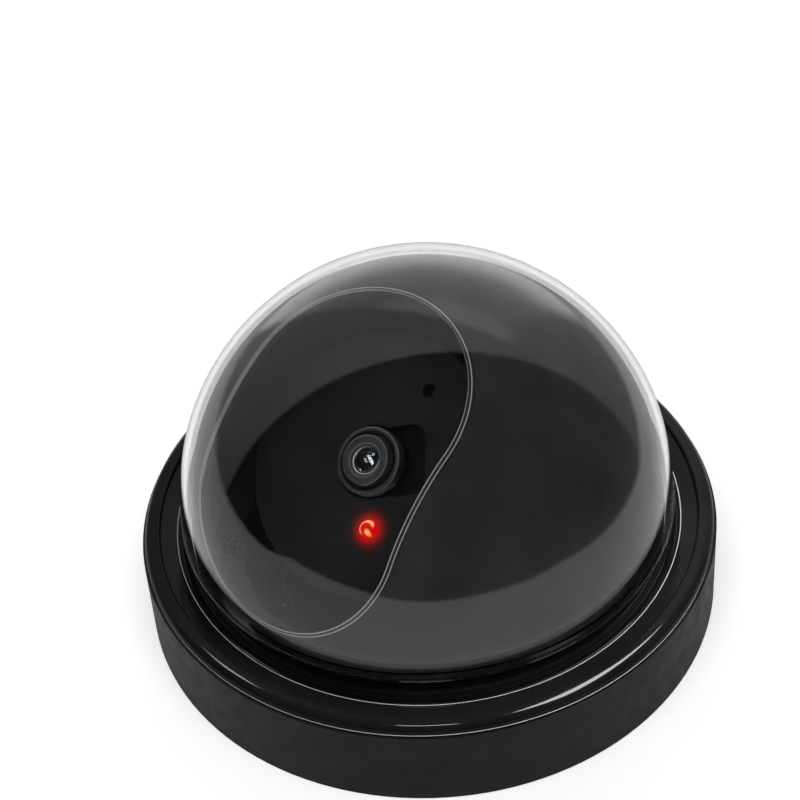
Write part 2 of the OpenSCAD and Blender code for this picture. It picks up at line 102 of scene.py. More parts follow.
def rim_view(tree):
    """1 for light that bounced once inside a clear shell, as in the dome's outermost rim."""
    path = tree.nodes.new("ShaderNodeLightPath").outputs
    bounced = join(tree, "GREATER_THAN", path["Glossy Depth"], 0.5)
    twice = join(tree, "LESS_THAN", path["Transmission Depth"], 2.5)
    inside = join(tree, "MULTIPLY", bounced, twice)
    return join(tree, "MULTIPLY", path["Is Transmission Ray"], inside)


# ---- material kit ----


class Finish:
    """A principled material with shortcuts for the textures that feed it."""

    def __init__(self, name, shade, roughness, **sockets):
        """Sets plain values; sockets are named as in the shader, with _ for spaces."""
        self.material = bpy.data.materials.new(name)
        self.material.use_nodes = True
        self.tree = self.material.node_tree
        self.bsdf = self.tree.nodes["Principled BSDF"]
        self.shade = shade
        self.bsdf.inputs["Base Color"].default_value = (*shade, 1)
        self.bsdf.inputs["Roughness"].default_value = roughness
        for socket, value in sockets.items():
            self.bsdf.inputs[socket.replace("_", " ")].default_value = value
        self.place = self.add("ShaderNodeTexCoord").outputs["Object"]
        self.x, _, self.z = self.split(self.place)

    def add(self, kind, values=(), **settings):
        """Makes a node, sets it up and feeds its inputs in order."""
        node = self.tree.nodes.new(kind)
        for key, value in settings.items():
            setattr(node, key, value)
        for index, value in enumerate(values):
            self.feed(value, node.inputs[index])
        return node

    def feed(self, value, socket):
        """Links a socket or sets a plain value."""
        if isinstance(value, bpy.types.NodeSocket):
            self.tree.links.new(value, socket)
        elif value is not None:
            socket.default_value = value

    def split(self, vector):
        """X, Y and Z of a vector."""
        return self.add("ShaderNodeSeparateXYZ", [vector]).outputs[:3]

    def math(self, operation, *values):
        """One arithmetic step."""
        return self.add("ShaderNodeMath", values, operation=operation).outputs[0]

    def length(self, a, b):
        """Length of the flat vector (a, b)."""
        squares = self.math("ADD", self.math("MULTIPLY", a, a), self.math("MULTIPLY", b, b))
        return self.math("SQRT", squares)

    def vector(self, operation, a, b=None):
        """One vector step; dot products and lengths come back as numbers."""
        node = self.add("ShaderNodeVectorMath", [a, b], operation=operation)
        number = operation in ("DOT_PRODUCT", "LENGTH")
        return node.outputs["Value" if number else "Vector"]

    def fade(self, value, start, end):
        """1 below start, 0 above end, smooth between them."""
        node = self.add("ShaderNodeMapRange", interpolation_type="SMOOTHSTEP")
        for socket, number in zip(node.inputs, (value, start, end, 1.0, 0.0)):
            self.feed(number, socket)
        return node.outputs["Result"]

    def band(self, value, centre, half, soft):
        """1 within half of centre, fading out over soft."""
        offset = self.math("ABSOLUTE", self.math("SUBTRACT", value, centre))
        return self.fade(offset, half, half + soft)

    def line(self, value, centre, half):
        """1 on centre, fading out at half, where half may be a socket."""
        offset = self.math("ABSOLUTE", self.math("SUBTRACT", value, centre))
        return self.fade(self.math("DIVIDE", offset, half), 0.5, 1.0)

    def noise(self, size_mm, detail=3.0, place=None):
        """Noise from 0 to 1 with features of about size_mm."""
        node = self.add("ShaderNodeTexNoise")
        self.feed(place or self.place, node.inputs["Vector"])
        node.inputs["Scale"].default_value = 1 / (size_mm * MM)
        node.inputs["Detail"].default_value = detail
        return node.outputs["Fac"]

    def mix(self, amount, a, b):
        """Colour a where amount is 0 and b where it is 1."""
        node = self.add("ShaderNodeMix", data_type="RGBA")
        for socket, value in zip((node.inputs[0], node.inputs[6], node.inputs[7]), (amount, a, b)):
            if isinstance(value, tuple) and len(value) == 3:
                value = (*value, 1)
            self.feed(value, socket)
        return node.outputs[2]

    def spread(self, value, low, high):
        """Stretches the middle of a noise over low..high."""
        node = self.add("ShaderNodeMapRange")
        for socket, number in zip(node.inputs, (value, 0.3, 0.7, low, high)):
            self.feed(number, socket)
        return node.outputs["Result"]

    def mottle(self, size_mm, low=0.8, high=1.25):
        """Colour that drifts a little over the surface."""
        dark = tuple(c * low for c in self.shade)
        light = tuple(c * high for c in self.shade)
        self.colour(self.mix(self.spread(self.noise(size_mm), 0.0, 1.0), dark, light))

    def wear(self, size_mm, low, high):
        """Roughness that varies between low and high."""
        self.feed(self.spread(self.noise(size_mm, 5.0), low, high), self.bsdf.inputs["Roughness"])

    def relief(self, height, depth_mm):
        """Bump of depth_mm from a height between 0 and 1."""
        bump = self.add("ShaderNodeBump")
        bump.inputs["Distance"].default_value = depth_mm * MM
        self.feed(height, bump.inputs["Height"])
        self.feed(bump.outputs["Normal"], self.bsdf.inputs["Normal"])

    def colour(self, value):
        """Sets what feeds the base colour."""
        self.feed(value, self.bsdf.inputs["Base Color"])

    def paint(self, amount, shade):
        """Lays a shade over the base colour where amount is 1."""
        self.colour(self.mix(amount, self.bsdf.inputs["Base Color"].links[0].from_socket, shade))

    def emit(self, shade, strength):
        """Sets a plain glow's colour and what feeds its strength."""
        self.bsdf.inputs["Emission Color"].default_value = (*shade, 1)
        self.feed(strength, self.bsdf.inputs["Emission Strength"])

    def axis_radius(self, point, axis):
        """Distance from the line through point along axis."""
        offset = self.vector("SUBTRACT", self.place, tuple(point))
        return self.vector("LENGTH", self.vector("CROSS_PRODUCT", offset, tuple(axis)))


def moulded(name, shade, roughness, grain_mm, depth_mm, **sockets):
    """Injection-moulded plastic: drifting colour, uneven gloss and a fine texture."""
    finish = Finish(name, shade, roughness, **sockets)
    finish.mottle(11)
    finish.wear(3.5, roughness * 0.85, roughness * 1.2)
    finish.relief(finish.noise(grain_mm, 4.0), depth_mm)
    return finish


# ---- materials of the housing ----


def gloss_black():
    """Piano-black ABS with painted highlight lines at the rim's foot and at the edge of the
    groove.
    """
    groove_highlight_share = 0.24
    finish = Finish("gloss_black", (0.0035, 0.0035, 0.004), 0.07, Specular_IOR_Level=0.13)
    finish.mottle(14)
    finish.wear(2.2, 0.05, 0.11)
    finish.relief(finish.noise(6, 2.0), 0.004)
    radius = finish.vector("LENGTH", finish.vector("MULTIPLY", finish.place, (1, 1, 0)))
    # Painted highlights: thin light lines at the rim's foot and at the groove's edge, the groove's
    # one fainter.
    foot = finish.band(finish.z, RING_LOW + 0.06 * MM, 0.09 * MM, 0.04 * MM)
    groove = finish.band(radius, GROOVE_R, 0.05 * MM, 0.06 * MM)
    floor = finish.fade(finish.z, RING_LOW + 1.0 * MM, RING_LOW + 1.2 * MM)
    groove = finish.math("MULTIPLY", groove, floor)
    line = finish.math("MAXIMUM", foot, finish.math("MULTIPLY", groove, groove_highlight_share))
    finish.paint(line, (0.85, 0.85, 0.85))
    return finish.material


def satin_black():
    """Base moulding: satin ABS with a spark-eroded texture."""
    finish = moulded("satin_black", (0.0155, 0.0155, 0.016), 0.42, 0.28, 0.018,
                     Specular_IOR_Level=0.22)
    return finish.material


def liner_black():
    """Liner moulding: painted highlight lines on the lip around its slot, and painted light
    towards its foot.
    """
    finish = moulded("liner_black", (0.034, 0.034, 0.035), 0.4, 0.35, 0.006,
                     Specular_IOR_Level=0.25)
    offset = finish.vector("SUBTRACT", finish.place, tuple(DOME_CENTRE))
    _, y, z = finish.split(offset)
    below = finish.math("ADD", finish.math("MULTIPLY", y, -math.sin(SLOT_LOW)),
                        finish.math("MULTIPLY", z, -math.cos(SLOT_LOW)))
    above = finish.math("ADD", finish.math("MULTIPLY", y, math.sin(SLOT_HIGH)),
                        finish.math("MULTIPLY", z, math.cos(SLOT_HIGH)))
    beyond = finish.math("MAXIMUM", finish.math("MAXIMUM", below, above), 0.0)
    reach = finish.length(beyond, finish.x)
    side = finish.math("DIVIDE", finish.x, SLOT_HALF)
    width = finish.math("MULTIPLY_ADD", side, -0.03 * MM, 0.12 * MM)
    # Painted highlights: two thin light lines on the raised lip around the slot, wider towards -X.
    inner = finish.line(reach, SLOT_HALF + 0.06 * MM, width)
    outer = finish.line(reach, SLOT_HALF + SLOT_LIP, width)
    front = finish.fade(y, 8 * MM, 12 * MM)
    radius = finish.vector("LENGTH", offset)
    sunk = finish.fade(radius, LINER_R - 0.1 * MM, LINER_R + 0.1 * MM)
    # Painted light: the liner's colour is made lighter towards its foot.
    finish.paint(finish.fade(finish.z, 24.5 * MM, 29.5 * MM), (0.075, 0.075, 0.077))
    line = finish.math("MULTIPLY", finish.math("MAXIMUM", inner, outer), front)
    line = finish.math("MULTIPLY", line, finish.math("SUBTRACT", 1.0, sunk))
    finish.paint(line, (0.62, 0.62, 0.64))
    return finish.material


def face_black():
    """Face plate: fine-textured plastic, with a painted red glow around its light pipe and painted
    shade in its pocket and microphone hole.
    """
    glow_strength, glow_falloff = 0.75, 4.2
    finish = moulded("face_black", (0.018, 0.018, 0.0185), 0.55, 0.22, 0.006,
                     Specular_IOR_Level=0.25)
    offset = finish.vector("SUBTRACT", finish.place, tuple(DOME_CENTRE))
    depth = finish.vector("DOT_PRODUCT", offset, tuple(LENS_AXIS))
    # Painted shade: near-black in the pocket's recess and in the microphone hole.
    recess_shade = finish.fade(depth, FACE_DEPTH - 0.4 * MM, FACE_DEPTH - 0.2 * MM)
    hole = finish.axis_radius(middle("microphone"), LENS_AXIS)
    hole = finish.fade(hole, MIC_HOLE_R, MIC_HOLE_R + 0.06 * MM)
    finish.paint(finish.math("MAXIMUM", recess_shade, hole), (0.0035, 0.0035, 0.004))
    # Painted red glow: the face plate gives off red light around the light pipe, standing in for
    # the indicator's light falling on it.
    radius = finish.axis_radius(middle("light_pipe"), LENS_AXIS)
    glow = finish.math("POWER", finish.fade(radius, 0.6 * MM, 6.8 * MM), glow_falloff)
    finish.emit((1, 0.0, 0.003), finish.math("MULTIPLY", glow, glow_strength))
    return finish.material


def matte_black():
    """Glass-filled nylon of the brackets and the housing."""
    return moulded("matte_black", (0.014, 0.014, 0.015), 0.55, 0.3, 0.03,
                   Specular_IOR_Level=0.35).material


def clear_acrylic():
    """Clear acrylic, polished, with the faintest haze of handling."""
    finish = Finish("clear_acrylic", (0.985, 0.99, 1.0), 0.0, IOR=1.47, Transmission_Weight=1.0)
    finish.feed(finish.spread(finish.noise(9, 6.0), 0.0, 0.012), finish.bsdf.inputs["Roughness"])
    return finish.material


def rubber():
    """Black rubber with a dusty bloom."""
    return moulded("rubber", (0.006, 0.006, 0.006), 0.75, 0.18, 0.02,
                   Specular_IOR_Level=0.3).material


def acetal():
    """Natural acetal of the hub."""
    return moulded("acetal", (0.62, 0.55, 0.42), 0.35, 0.6, 0.01, Subsurface_Weight=0.1,
                   Subsurface_Scale=0.001).material


def nylon():
    """White nylon of the washers and sockets."""
    return moulded("nylon", (0.68, 0.66, 0.6), 0.4, 0.4, 0.01).material


def plated_steel():
    """Zinc-plated steel: spangle, fine scratches and a blue-yellow cast."""
    finish = Finish("plated_steel", (0.62, 0.63, 0.64), 0.3, Metallic=1.0)
    spangle = finish.spread(finish.noise(0.7, 2.0), 0.0, 1.0)
    finish.colour(finish.mix(spangle, (0.52, 0.55, 0.6), (0.68, 0.66, 0.6)))
    finish.wear(0.5, 0.2, 0.42)
    finish.relief(finish.noise(0.12, 5.0), 0.006)
    return finish.material


def tinned():
    """Tinned steel can."""
    finish = Finish("tinned", (0.7, 0.7, 0.68), 0.25, Metallic=1.0)
    finish.mottle(1.2, 0.85, 1.1)
    finish.wear(0.8, 0.18, 0.35)
    return finish.material


WAVE_SCALE = 0.314  # scale that gives a wave texture one crest per unit


def board(name, mask, copper):
    """Solder-masked circuit board: traces show as raised lines, pads as tinned dots."""
    finish = Finish(name, mask, 0.28, Specular_IOR_Level=0.5)
    runs = []
    for spin, pitch_mm in ((0.0, 1.1), (90.0, 1.3), (45.0, 1.7)):
        turn = finish.add("ShaderNodeMapping", [finish.place], vector_type="TEXTURE")
        turn.inputs["Rotation"].default_value[2] = math.radians(spin)
        wave = finish.add("ShaderNodeTexWave", [turn.outputs[0]])
        wave.inputs["Scale"].default_value = WAVE_SCALE / (pitch_mm * MM)
        here = finish.fade(finish.noise(5.5, 1.0, turn.outputs[0]), 0.44, 0.46)
        runs.append(finish.math("MULTIPLY", finish.fade(wave.outputs["Fac"], 0.18, 0.24), here))
    trace = finish.math("MAXIMUM", finish.math("MAXIMUM", runs[0], runs[1]), runs[2])
    cells = finish.add("ShaderNodeTexVoronoi", [finish.place])
    cells.inputs["Scale"].default_value = 1 / (2.6 * MM)
    pad = finish.fade(cells.outputs["Distance"], 0.12, 0.15)
    light = tuple(c * 1.3 for c in mask)
    tint = finish.mix(finish.spread(finish.noise(8), 0.0, 1.0), mask, light)
    tint = finish.mix(trace, tint, copper)
    finish.colour(finish.mix(pad, tint, (0.55, 0.53, 0.48)))
    finish.feed(pad, finish.bsdf.inputs["Metallic"])
    finish.relief(finish.math("MAXIMUM", trace, pad), 0.03)
    return finish.material


def chip_epoxy():
    """Matte epoxy of chip packages."""
    return moulded("chip_epoxy", (0.016, 0.016, 0.018), 0.55, 0.15, 0.012).material


def capacitor_sleeve():
    """Sleeve of the capacitors, with the bare top of the can."""
    sleeve = (0.02, 0.022, 0.03)
    finish = Finish("capacitor_sleeve", sleeve, 0.3)
    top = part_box("capacitors")[1].z
    bare = finish.math("SUBTRACT", 1.0, finish.fade(finish.z, top - 0.06 * MM, top - 0.03 * MM))
    finish.colour(finish.mix(bare, sleeve, (0.6, 0.6, 0.58)))
    finish.feed(bare, finish.bsdf.inputs["Metallic"])
    finish.wear(1.5, 0.25, 0.4)
    return finish.material


def terminal_green():
    """Green polyamide of the screw terminal."""
    return moulded("terminal_polyamide", (0.03, 0.22, 0.08), 0.4, 0.3, 0.012).material


def led_body():
    """Milky resin of the indicator."""
    finish = moulded("led_resin", (0.8, 0.72, 0.6), 0.35, 0.3, 0.006)
    finish.emit((1, 0.02, 0.005), 2.0)
    return finish.material


def red_light():
    """Lit light pipe: deep red body, a bright arc under its rim and the chip's hot spot.

    Lengths on the pipe's end are shares of its radius.
    """
    arc_radius, spot_drop = 0.76, 0.55
    finish = Finish("red_light", (0.12, 0.002, 0.001), 0.2, Coat_Weight=0.2)
    arc_up = (FACE_UP * 0.75 - Vector((1, 0, 0)) * 1.15).normalized()
    arc_side = arc_up.cross(LENS_AXIS)
    offset = finish.vector("SUBTRACT", finish.place, tuple(middle("light_pipe")))
    up = finish.math("DIVIDE", finish.vector("DOT_PRODUCT", offset, tuple(arc_up)), PIPE_R)
    side = finish.math("DIVIDE", finish.vector("DOT_PRODUCT", offset, tuple(arc_side)), PIPE_R)
    thick = finish.math("MAXIMUM", finish.math("MULTIPLY_ADD", up, 0.1, 0.12), 0.02)
    away = finish.math("SUBTRACT", finish.length(up, side), arc_radius)
    away = finish.math("DIVIDE", finish.math("ABSOLUTE", away), thick)
    ends = finish.math("SUBTRACT", 1.0, finish.fade(up, -0.45, 0.1))
    arc = finish.math("MULTIPLY", finish.fade(away, 0.6, 1.3), ends)
    spot = finish.length(finish.math("ADD", up, spot_drop), finish.math("MULTIPLY", side, 1.3))
    hot = finish.math("MAXIMUM", arc, finish.fade(spot, 0.12, 0.5))
    flicker = finish.spread(finish.noise(0.25, 2.0), 0.75, 1.0)
    glow = finish.mix(finish.math("MULTIPLY", hot, flicker), (0.45, 0.001, 0.0), (1.0, 0.4, 0.14))
    finish.feed(glow, finish.bsdf.inputs["Emission Color"])
    finish.bsdf.inputs["Emission Strength"].default_value = 1.3
    return finish.material


def sensor_face():
    """Image sensor: dark silicon under a clear coat."""
    finish = Finish("sensor_silicon", (0.03, 0.04, 0.07), 0.15, Metallic=0.6, Coat_Weight=1.0)
    finish.mottle(2, 0.6, 1.6)
    return finish.material


def filter_glass():
    """Infrared-cut filter."""
    finish = Finish("filter_glass", (0.55, 0.85, 0.95), 0.02, IOR=1.52, Transmission_Weight=1.0)
    finish.mottle(3, 0.95, 1.05)
    return finish.material


# Painted highlight rings at the lens's edges: radius and half width in mm, brightness.
LENS_EDGE_HIGHLIGHTS = ((2.65, 0.12, 0.8), (3.3, 0.07, 0.25), (4.75, 0.09, 0.2), (6.6, 0.12, 0.14))


def lens_black():
    """Anodised barrel with turned ridges, painted highlight rings around the lens axis, painted
    shade in the moat around its nose and near-black below its head.
    """
    finish = Finish("lens_black", (0.05, 0.05, 0.052), 0.36, Specular_IOR_Level=0.4)
    finish.mottle(4)
    radius = finish.axis_radius(DOME_CENTRE, LENS_AXIS)
    # Painted highlights: thin light rings at the lens's edges.
    edge_highlights = 0.0
    for edge, half, shine in LENS_EDGE_HIGHLIGHTS:
        line = finish.line(radius, edge * MM, half * MM)
        edge_highlights = finish.math("MAXIMUM", edge_highlights, finish.math("MULTIPLY", line, shine))
    finish.paint(edge_highlights, (0.9, 0.9, 0.92))
    offset = finish.vector("SUBTRACT", finish.place, tuple(DOME_CENTRE))
    depth = finish.vector("DOT_PRODUCT", offset, tuple(LENS_AXIS))
    # Painted shade: near-black in the moat around the nose; the barrel below the head is
    # near-black too.
    moat = finish.math("MULTIPLY", finish.band(radius, 5.35 * MM, 0.42 * MM, 0.06 * MM),
                       finish.fade(depth, NOSE_DEPTH, NOSE_DEPTH + 0.25 * MM))
    below_head = finish.fade(depth, HEAD_DEPTH, HEAD_DEPTH + 0.2 * MM)
    finish.paint(finish.math("MAXIMUM", moat, below_head), (0.004, 0.004, 0.004))
    turned = finish.math("SINE", finish.math("MULTIPLY", radius, math.tau / (0.3 * MM)))
    finish.wear(1.0, 0.26, 0.4)
    finish.relief(finish.math("MULTIPLY_ADD", turned, 0.5, 0.5), 0.012)
    return finish.material


def lens_glass():
    """Coated lens glass."""
    finish = Finish("lens_glass", (0.93, 0.97, 1.0), 0.0, IOR=1.6, Transmission_Weight=1.0,
                    Coat_Weight=0.6, Coat_Tint=(0.92, 0.96, 1.0, 1))
    finish.feed(finish.spread(finish.noise(0.8, 4.0), 0.0, 0.02), finish.bsdf.inputs["Roughness"])
    return finish.material


FINISHES = {
    "satin_black_plastic": satin_black(),
    "gloss_black_plastic": gloss_black(),
    "liner_black_plastic": liner_black(),
    "face_black_plastic": face_black(),
    "matte_black_plastic": matte_black(),
    "clear_acrylic": clear_acrylic(),
    "black_rubber": rubber(),
    "acetal": acetal(),
    "white_nylon": nylon(),
    "zinc_steel": plated_steel(),
    "tin_can": tinned(),
    "green_board": board("green_board_mask", (0.003, 0.012, 0.006), (0.006, 0.022, 0.01)),
    "black_board": board("black_board_mask", (0.006, 0.008, 0.007), (0.02, 0.025, 0.022)),
    "chip_black": chip_epoxy(),
    "capacitor_sleeve": capacitor_sleeve(),
    "terminal_green": terminal_green(),
    "led_body": led_body(),
    "red_light": red_light(),
    "sensor_face": sensor_face(),
    "filter_glass": filter_glass(),
    "lens_black": lens_black(),
    "lens_glass": lens_glass(),
}

for node_object in frame["nodes"].values():
    for material_slot in node_object.material_slots:
        material_slot.material = FINISHES[material_slot.material.name]


# ---- small fittings that the CAD leaves out ----


def piece(name, mesh, material, body):
    """Adds a mesh as a visible piece that rides on a body."""
    data = bpy.data.meshes.new(name)
    mesh.to_mesh(data)
    mesh.free()
    made = bpy.data.objects.new(name, data)
    bpy.context.scene.collection.objects.link(made)
    data.materials.append(material)
    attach(made, body)
    return made


def add_block(mesh, size, place):
    """Adds a box of the given size, moved and turned by a matrix."""
    made = bmesh.ops.create_cube(mesh, size=1.0)
    bmesh.ops.scale(mesh, vec=size, verts=made["verts"])
    bmesh.ops.transform(mesh, matrix=place, verts=made["verts"])


def on_board(radius_mm, angle, spin=0.0, height_mm=0.0):
    """Matrix of a place on the main board, by radius and angle."""
    turn = Matrix.Rotation(math.radians(angle), 4, "Z")
    out = Matrix.Translation((radius_mm * MM, 0, BOARD_TOP + height_mm * MM))
    return turn @ out @ Matrix.Rotation(math.radians(spin), 4, "Z")


RESISTOR_SIZE = Vector((1.0, 0.8, 0.45)) * MM
RESISTOR_END = Vector((0.3, 0.82, 0.47)) * MM
RESISTOR_REACH = 0.65 * MM  # from the middle of a resistor to the middle of its end
RESISTOR_ROWS_MM = (19.5, 22.0, 33.5, 37.5, 41.5)  # radii on the main board
SKIP_SHARE = 0.25  # share of free places left empty
# Sectors of the board with larger parts: middle and half width in degrees.
TAKEN_SECTORS = ((90, 12), (210, 42), (330, 12), (68, 22), (20, 24), (170, 12), (150, 12), (0, 14))


def taken(angle):
    """True where a larger part stands on the main board."""
    return any(abs((angle - centre + 180) % 360 - 180) < wide for centre, wide in TAKEN_SECTORS)


def chip_resistors():
    """Rows of small resistors and ceramic capacitors on the main board."""
    body, ends = bmesh.new(), bmesh.new()
    for radius in RESISTOR_ROWS_MM:
        for angle in range(4, 360, 12 if radius > 30 else 20):
            if taken(angle) or random.random() < SKIP_SHARE:
                continue
            place = on_board(radius, angle, random.choice((0, 90)), RESISTOR_SIZE.z / 2 / MM)
            add_block(body, RESISTOR_SIZE, place)
            for side in (-1, 1):
                shift = Matrix.Translation((side * RESISTOR_REACH, 0, 0))
                add_block(ends, RESISTOR_END, place @ shift)
    piece("chip_resistor_bodies", body, FINISHES["chip_black"], "base")
    piece("chip_resistor_ends", ends, FINISHES["tin_can"], "base")


CHIP_HALF = 6.0 * MM
CHIP_TURN = math.radians(20)
LEG_PITCH = 0.5 * MM
LEG_ARM = Vector((0.75, 0.22, 0.12)) * MM
LEG_FOOT = Vector((0.6, 0.22, 0.12)) * MM


def chip_legs():
    """Gull-wing legs along the four sides of the video chip."""
    legs = bmesh.new()
    low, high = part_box("video_chip")
    centre = (low + high) / 2
    spin = Matrix.Translation((centre.x, centre.y, BOARD_TOP)) @ Matrix.Rotation(CHIP_TURN, 4, "Z")
    slope = Matrix.Rotation(0.9, 4, "Y")
    for side in range(4):
        quarter = spin @ Matrix.Rotation(math.radians(90 * side), 4, "Z")
        for step in range(-10, 11):
            along = step * LEG_PITCH
            foot = Matrix.Translation((CHIP_HALF + 0.75 * MM, along, 0.07 * MM))
            add_block(legs, LEG_FOOT, quarter @ foot)
            arm = Matrix.Translation((CHIP_HALF + 0.3 * MM, along, 0.35 * MM))
            add_block(legs, LEG_ARM, quarter @ arm @ slope)
    piece("video_chip_legs", legs, FINISHES["tin_can"], "base")


# Profile of the lens stop in mm: radius, depth along the lens axis from DOME_CENTRE.
STOP_PROFILE = ((2.25, 23.1), (1.9, 22.6), (1.9, 22.5), (1.45, 22.0), (1.45, 21.9), (0.8, 21.4),
                (0.8, 21.2))
STOP_STEPS = 64


def lens_stop():
    """Stepped black cone behind the front glass, closed at its far end."""
    cone = bmesh.new()
    side = LENS_AXIS.cross(FACE_UP)
    angles = [math.tau * i / STOP_STEPS for i in range(STOP_STEPS)]
    spokes = [side * math.cos(a) + FACE_UP * math.sin(a) for a in angles]
    loops = []
    for radius, depth in STOP_PROFILE:
        centre = DOME_CENTRE + LENS_AXIS * depth * MM
        loops.append([cone.verts.new(centre + spoke * radius * MM) for spoke in spokes])
    for near, far in zip(loops, loops[1:]):
        for i in range(STOP_STEPS):
            j = (i + 1) % STOP_STEPS
            cone.faces.new((near[i], near[j], far[j], far[i]))
    cone.faces.new(loops[-1])
    made = piece("lens_stop", cone, FINISHES["lens_black"], "lens")
    for polygon in made.data.polygons:
        polygon.use_smooth = len(polygon.vertices) == 4


chip_resistors()
chip_legs()
lens_stop()


# ---- studio ----


CAMERA_AZIMUTH = math.radians(44.2)  # from the lens's side, towards +X
CAMERA_ELEVATION = math.radians(45.3)
CAMERA_ROLL = math.radians(-4.0)
CAMERA_DISTANCE = 0.464
CAMERA_LENS_MM = 103.8
AIM_RIGHT, AIM_UP = -0.0122, 0.0494  # off the trim ring's centre, as slopes

TO_CAMERA = Vector((math.sin(CAMERA_AZIMUTH), -math.cos(CAMERA_AZIMUTH), 0))
TO_RIGHT = Vector((math.cos(CAMERA_AZIMUTH), math.sin(CAMERA_AZIMUTH), 0))
UPWARD = Vector((0, 0, 1))
VIEW_BACK = TO_CAMERA * math.cos(CAMERA_ELEVATION) + UPWARD * math.sin(CAMERA_ELEVATION)

# Table top's corners in metres: to the right of the object, towards the camera.
TABLE_CORNERS = ((-0.33, -0.6), (0.45, -0.6), (0.178, -0.03), (0.22, 0.18), (0.12, 0.32),
                 (-0.1, 0.36), (-0.25, 0.45), (-0.5, 0.46), (-0.58, 0.33), (-0.33, 0.12))
TABLE_DROP = 0.0002
NEAR_TABLE, FAR_TABLE = 0.12, 0.45  # distances over which the table's lift grows

# Brightness of the surroundings.
FLOOR_LIFT, EDGE_LIFT = 0.52, 1.0  # the table as seen directly, near the object and far from it
RIM_LIFT = 0.7  # what the dome's outermost rim picks up
ROOM_LIGHT = 0.03  # dark room on the camera's side, in reflections
WALL_LIGHT, WALL_RISE, WALL_FLOOR = 0.2, 0.28, 0.1  # backdrop: level, growth upwards, least
PANEL_LIGHT, PANEL_STRIP, PANEL_HORIZON = 0.48, 0.3, 0.45  # panel: level, top strip, low glow

KEY_ENERGY = 9.0
KEY_PLACE = TO_CAMERA * 0.45 + UPWARD * 1.2
STREAK_DISTANCE = 0.5
GLINT_DISTANCE = 17 * MM

# Each light: name, direction (right, towards the camera, up), size in metres, watts.
RING_STREAKS = (("streak_front", (-0.06, 0.5, 0.86), (0.12, 0.03), 0.7),
                ("streak_right", (0.40, 0.02, 0.91), (0.34, 0.14), 7.0),
                ("streak_left", (-0.51, -0.19, 0.84), (0.10, 0.08), 0.6))
LENS_GLINTS = (("glint_tall", (-0.8, 0.05, 0.6), (0.007, 0.0022), 0.0027),
               ("glint_wide", (-0.15, -0.2, 0.95), (0.004, 0.002), 0.0014))


def toward(direction):
    """Direction given as right, towards the camera and up."""
    return TO_RIGHT * direction[0] + TO_CAMERA * direction[1] + UPWARD * direction[2]


def add_camera():
    """Camera at the photograph's angle, aimed a little above and left of the ring's centre."""
    level_up = VIEW_BACK.cross(TO_RIGHT)
    right = TO_RIGHT * math.cos(CAMERA_ROLL) + level_up * math.sin(CAMERA_ROLL)
    up = level_up * math.cos(CAMERA_ROLL) - TO_RIGHT * math.sin(CAMERA_ROLL)
    aim = (right * AIM_RIGHT + up * AIM_UP - VIEW_BACK).normalized()
    right = (right - aim * right.dot(aim)).normalized()
    up = right.cross(aim)
    data = bpy.data.cameras.new("camera")
    data.lens = CAMERA_LENS_MM
    data.sensor_width = 36
    data.clip_start = 0.01
    data.clip_end = 50
    camera = bpy.data.objects.new("camera", data)
    bpy.context.scene.collection.objects.link(camera)
    turn = Matrix((right, up, -aim)).transposed()
    spot = UPWARD * RING_LOW + VIEW_BACK * CAMERA_DISTANCE
    camera.matrix_world = Matrix.Translation(spot) @ turn.to_4x4()
    bpy.context.scene.camera = camera


def add_area(name, place, target, size, energy, glossy=True, receivers=None):
    """Rectangular area light at place, facing target, which can light chosen objects only."""
    data = bpy.data.lights.new(name, "AREA")
    data.shape = "RECTANGLE"
    data.size, data.size_y = size
    data.energy = energy
    lamp = bpy.data.objects.new(name, data)
    bpy.context.scene.collection.objects.link(lamp)
    lamp.location = place
    lamp.rotation_euler = (Vector(target) - Vector(place)).to_track_quat("-Z", "Y").to_euler()
    lamp.visible_glossy = glossy
    lamp.visible_transmission = glossy
    lamp.visible_camera = False
    if receivers:
        group = bpy.data.collections.new(name + "_receivers")
        for receiver in receivers:
            group.objects.link(receiver)
        lamp.light_linking.receiver_collection = group


def add_floor():
    """Pale table top that fades into the bright surroundings."""
    finish = Finish("floor_paper", (0.9, 0.9, 0.9), 0.9, Specular_IOR_Level=0.1,
                    Emission_Color=(1, 1, 1, 1))
    finish.mottle(40, 0.985, 1.01)
    finish.relief(finish.noise(0.6, 4.0), 0.004)
    near = finish.fade(finish.vector("LENGTH", finish.place), NEAR_TABLE, FAR_TABLE)
    lift = finish.math("MULTIPLY_ADD", near, FLOOR_LIFT - EDGE_LIFT, EDGE_LIFT)
    lift = finish.math("MULTIPLY", straight_view(finish.tree), lift)
    behind = finish.fade(finish.vector("DOT_PRODUCT", finish.place, tuple(TO_CAMERA)), -0.06, 0.03)
    aside = finish.math("ABSOLUTE", finish.vector("DOT_PRODUCT", finish.place, tuple(TO_RIGHT)))
    behind = finish.math("MULTIPLY", behind, finish.fade(aside, 0.075, 0.11))
    rim = finish.math("MULTIPLY", rim_view(finish.tree), finish.math("MULTIPLY", behind, RIM_LIFT))
    lift = finish.math("MAXIMUM", lift, rim)
    finish.feed(lift, finish.bsdf.inputs["Emission Strength"])
    sheet = bmesh.new()
    corners = [TO_RIGHT * x + TO_CAMERA * y for x, y in TABLE_CORNERS]
    sheet.faces.new([sheet.verts.new(corner) for corner in corners])
    data = bpy.data.meshes.new("floor")
    sheet.to_mesh(data)
    sheet.free()
    floor = bpy.data.objects.new("floor", data)
    bpy.context.scene.collection.objects.link(floor)
    data.materials.append(finish.material)
    floor.location.z = -TABLE_DROP


